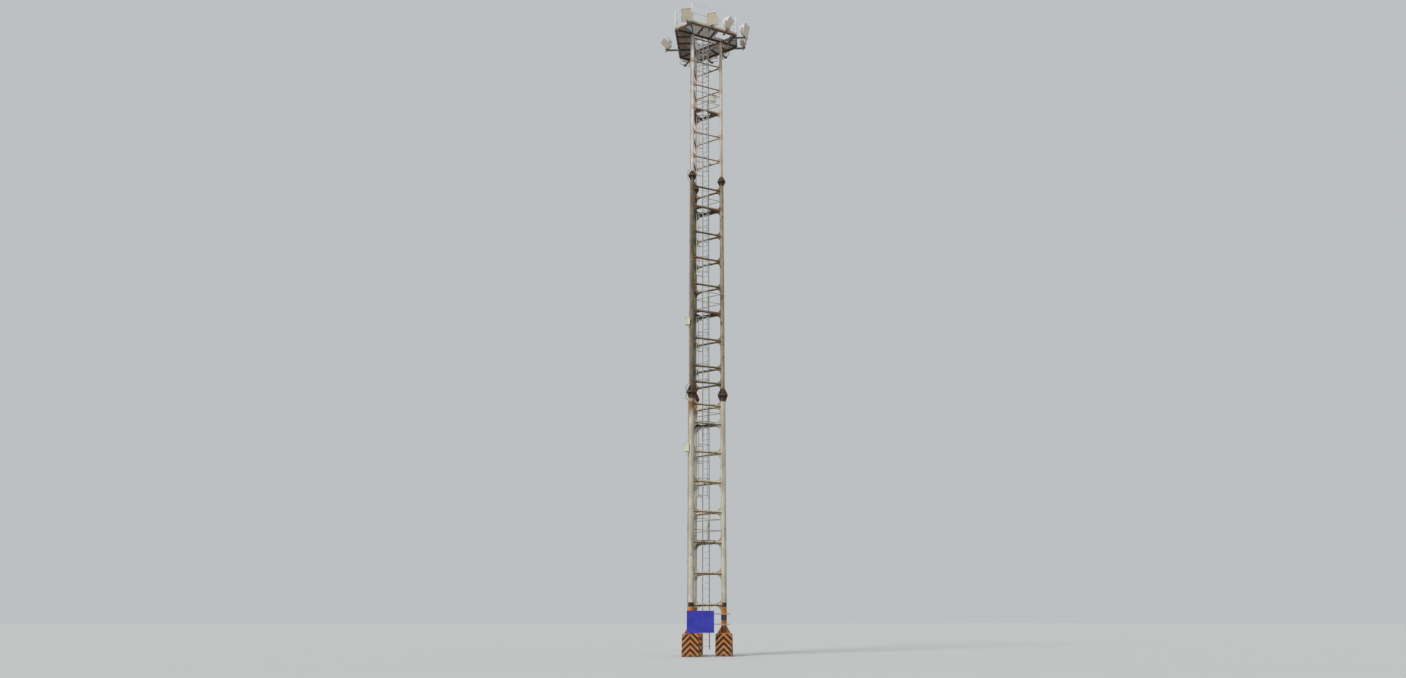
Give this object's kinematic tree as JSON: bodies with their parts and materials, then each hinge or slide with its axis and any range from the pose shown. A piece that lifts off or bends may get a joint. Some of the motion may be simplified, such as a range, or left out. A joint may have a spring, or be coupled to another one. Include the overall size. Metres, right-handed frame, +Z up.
{
  "type": "high mast floodlight tower",
  "caption": "Three-legged tubular floodlight tower with rungs and haunches, resting platforms, a caged ladder, a hexagonal railed head platform and tilting floodlights.",
  "frame": {"origin": "centre of the underside of the front left plinth, at ground level", "axes": "+Z up the tower, +X from the front left leg to the front right leg, +Y inward to the rear leg"},
  "size_m": [4.8606, 5.1585, 35.4155],
  "materials": {
    "plinth": "concrete painted in orange and black stripes",
    "leg_lower": "weathered light grey paint with hazard bands and rust streaks",
    "leg_middle": "olive-brown weathered paint",
    "leg_upper": "chalky light grey paint",
    "rungs": "weathered paint, brown below",
    "grating": "dark weathered grating",
    "guard": "weathered light paint",
    "ladder": "weathered light paint",
    "head": "dark brown weathered steel",
    "handrail": "light grey paint",
    "stirrup": "galvanised steel",
    "floodlight": "cast housing, chalky beige",
    "sign": "blue painted board",
    "fitting": "light grey boxes and conduit"
  },
  "bodies": {
    "tower": {"plinth_front_left": "plinth", "plinth_front_right": "plinth", "plinth_rear": "plinth", "leg_front_left_lower": "leg_lower", "leg_front_left_middle": "leg_middle", "leg_front_left_upper": "leg_upper", "leg_front_right_lower": "leg_lower", "leg_front_right_middle": "leg_middle", "leg_front_right_upper": "leg_upper", "leg_rear_lower": "leg_lower", "leg_rear_middle": "leg_middle", "leg_rear_upper": "leg_upper", "rungs_front": "rungs", "rungs_right": "rungs", "rungs_left": "rungs", "rest_platform_1": "grating", "rest_platform_2": "grating", "rest_platform_3": "grating", "rest_platform_4": "grating", "rest_platform_5": "grating", "rest_guard_front": "guard", "rest_guard_right": "guard", "rest_guard_left": "guard", "ladder": "ladder", "ladder_cage": "ladder", "head_frame": "head", "deck_inner": "grating", "deck_front": "grating", "deck_right": "grating", "deck_left": "grating", "handrail_front": "handrail", "handrail_right": "handrail", "handrail_left": "handrail", "light_stirrups": "stirrup", "sign_board": "sign", "conduit": "fitting", "service_boxes": "fitting"},
    "floodlight_1": {"floodlight_1": "floodlight"},
    "floodlight_2": {"floodlight_2": "floodlight"},
    "floodlight_3": {"floodlight_3": "floodlight"},
    "floodlight_4": {"floodlight_4": "floodlight"},
    "floodlight_5": {"floodlight_5": "floodlight"},
    "floodlight_6": {"floodlight_6": "floodlight"},
    "floodlight_7": {"floodlight_7": "floodlight"},
    "floodlight_8": {"floodlight_8": "floodlight"},
    "floodlight_9": {"floodlight_9": "floodlight"}
  },
  "joints": [
    {"name": "tilt_1", "type": "hinge", "parent": "tower", "child": "floodlight_1", "pos_m": [-0.88516, -1.0884, 34.502], "axis": [0.809, -0.5878, 0], "range_deg": [-35, 25]},
    {"name": "tilt_2", "type": "hinge", "parent": "tower", "child": "floodlight_2", "pos_m": [0.5925, -1.35, 34.502], "axis": [0.809, -0.5878, 0], "range_deg": [-26, 24]},
    {"name": "tilt_3", "type": "hinge", "parent": "tower", "child": "floodlight_3", "pos_m": [1.5325, -1.35, 34.502], "axis": [0.766, 0.6428, 0], "range_deg": [-35, 15]},
    {"name": "tilt_4", "type": "hinge", "parent": "tower", "child": "floodlight_4", "pos_m": [2.74926, -1.15139, 34.502], "axis": [0.8387, 0.5446, 0], "range_deg": [-12, 48]},
    {"name": "tilt_5", "type": "hinge", "parent": "tower", "child": "floodlight_5", "pos_m": [3.24096, -0.19974, 34.502], "axis": [0.2079, 0.9781, 0], "range_deg": [-17, 43]},
    {"name": "tilt_6", "type": "hinge", "parent": "tower", "child": "floodlight_6", "pos_m": [-0.72671, 1.9813, 34.502], "axis": [-0.0698, -0.9976, 0], "range_deg": [-50, 25]},
    {"name": "tilt_7", "type": "hinge", "parent": "tower", "child": "floodlight_7", "pos_m": [2.72619, 1.16982, 34.502], "axis": [-0.1736, 0.9848, 0], "range_deg": [-34, 26]},
    {"name": "tilt_8", "type": "hinge", "parent": "tower", "child": "floodlight_8", "pos_m": [2.23119, 2.02718, 34.502], "axis": [-0.7193, 0.6947, 0], "range_deg": [-38, 22]},
    {"name": "tilt_9", "type": "hinge", "parent": "tower", "child": "floodlight_9", "pos_m": [0.8925, 3.02662, 34.502], "axis": [-1, 0, 0], "range_deg": [-42, 33]}
  ]
}
